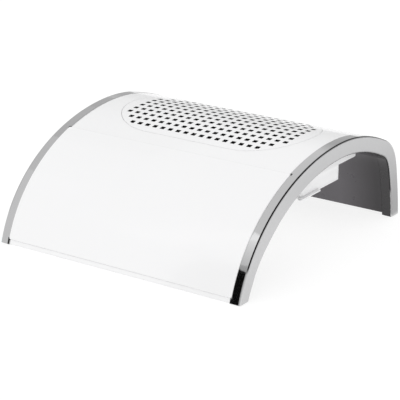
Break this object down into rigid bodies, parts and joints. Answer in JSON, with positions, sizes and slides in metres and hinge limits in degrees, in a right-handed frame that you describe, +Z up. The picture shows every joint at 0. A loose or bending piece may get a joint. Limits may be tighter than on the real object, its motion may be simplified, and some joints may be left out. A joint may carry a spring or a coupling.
{
  "type": "nail dust collector",
  "caption": "White arch-shaped tabletop dust extractor with plated side trims, stadium suction grille on top, internal axial fans, rear rocker switch and a pull-down dust bag.",
  "frame": {"origin": "on the table, under the middle of the arch's footprint", "axes": "+Z up, -Y towards the user's side with the sloping front panel, +Y towards the steep rear panel, X across the arch"},
  "size_m": [0.3, 0.3164, 0.1152],
  "materials": {
    "plated_trim": "plated satin-bright",
    "pad_rubber": "matt",
    "white_gloss": "high gloss",
    "white_satin": "satin",
    "inner_grey": "fine satin",
    "screw_steel": "zinc plated",
    "fan_black": "moulded",
    "magnet": "matt",
    "stator_steel": "laminated",
    "copper_wire": "enamelled windings",
    "bearing_brass": "sintered",
    "pin_steel": "ground",
    "switch_black": "fine satin",
    "rocker_black": "gloss",
    "terminal_brass": "tinned",
    "connector_white": "natural",
    "bag_fabric": "non-woven",
    "lead_red": "insulation",
    "lead_black": "insulation"
  },
  "bodies": {
    "arch": {"side_trim_left": "plated_trim", "side_trim_right": "plated_trim", "foot_pads": "pad_rubber", "arch_shell": "white_gloss", "front_panel": "white_gloss", "rear_panel": "white_gloss", "inner_cover": "inner_grey", "grille_plate": "white_gloss", "fan_tray": "white_satin", "tray_screws": "screw_steel", "rear_panel_screws": "screw_steel", "fan_screws": "screw_steel", "fan_frame_left": "fan_black", "stator_core_left": "stator_steel", "stator_coils_left": "copper_wire", "shaft_bearings_left": "bearing_brass", "fan_frame_centre": "fan_black", "stator_core_centre": "stator_steel", "stator_coils_centre": "copper_wire", "shaft_bearings_centre": "bearing_brass", "fan_frame_right": "fan_black", "stator_core_right": "stator_steel", "stator_coils_right": "copper_wire", "shaft_bearings_right": "bearing_brass", "switch_housing": "switch_black", "switch_pivot_pin": "pin_steel", "switch_terminals": "terminal_brass", "power_jack": "switch_black", "jack_pin": "pin_steel", "jack_nut": "pin_steel", "wire_connector": "connector_white", "supply_leads": "lead_black", "switch_lead": "lead_red", "fan_leads_left": "lead_black", "fan_leads_centre": "lead_black", "fan_leads_right": "lead_black"},
    "rotor_left": {"fan_rotor_left": "fan_black", "rotor_magnet_left": "magnet", "fan_shaft_left": "pin_steel"},
    "rotor_centre": {"fan_rotor_centre": "fan_black", "rotor_magnet_centre": "magnet", "fan_shaft_centre": "pin_steel"},
    "rotor_right": {"fan_rotor_right": "fan_black", "rotor_magnet_right": "magnet", "fan_shaft_right": "pin_steel"},
    "rocker": {"switch_rocker": "rocker_black"},
    "bag": {"bag_frame": "white_satin", "dust_bag": "bag_fabric"}
  },
  "joints": [
    {"name": "fan_left_spin", "type": "hinge", "parent": "arch", "child": "rotor_left", "pos_m": [-0.082, 0.0305, 0.0945], "axis": [0, 0, 1], "continuous": true},
    {"name": "fan_centre_spin", "type": "hinge", "parent": "arch", "child": "rotor_centre", "pos_m": [0, 0.0305, 0.0945], "axis": [0, 0, 1], "continuous": true},
    {"name": "fan_right_spin", "type": "hinge", "parent": "arch", "child": "rotor_right", "pos_m": [0.082, 0.0305, 0.0945], "axis": [0, 0, 1], "continuous": true},
    {"name": "rocker_tilt", "type": "hinge", "parent": "arch", "child": "rocker", "pos_m": [-0.096, 0.15327, 0.03557], "axis": [1, 0, 0], "range_deg": [-16, 0]},
    {"name": "bag_pull_down", "type": "slide", "parent": "arch", "child": "bag", "axis": [0, 0, -1], "range_m": [0, 0.045]}
  ]
}
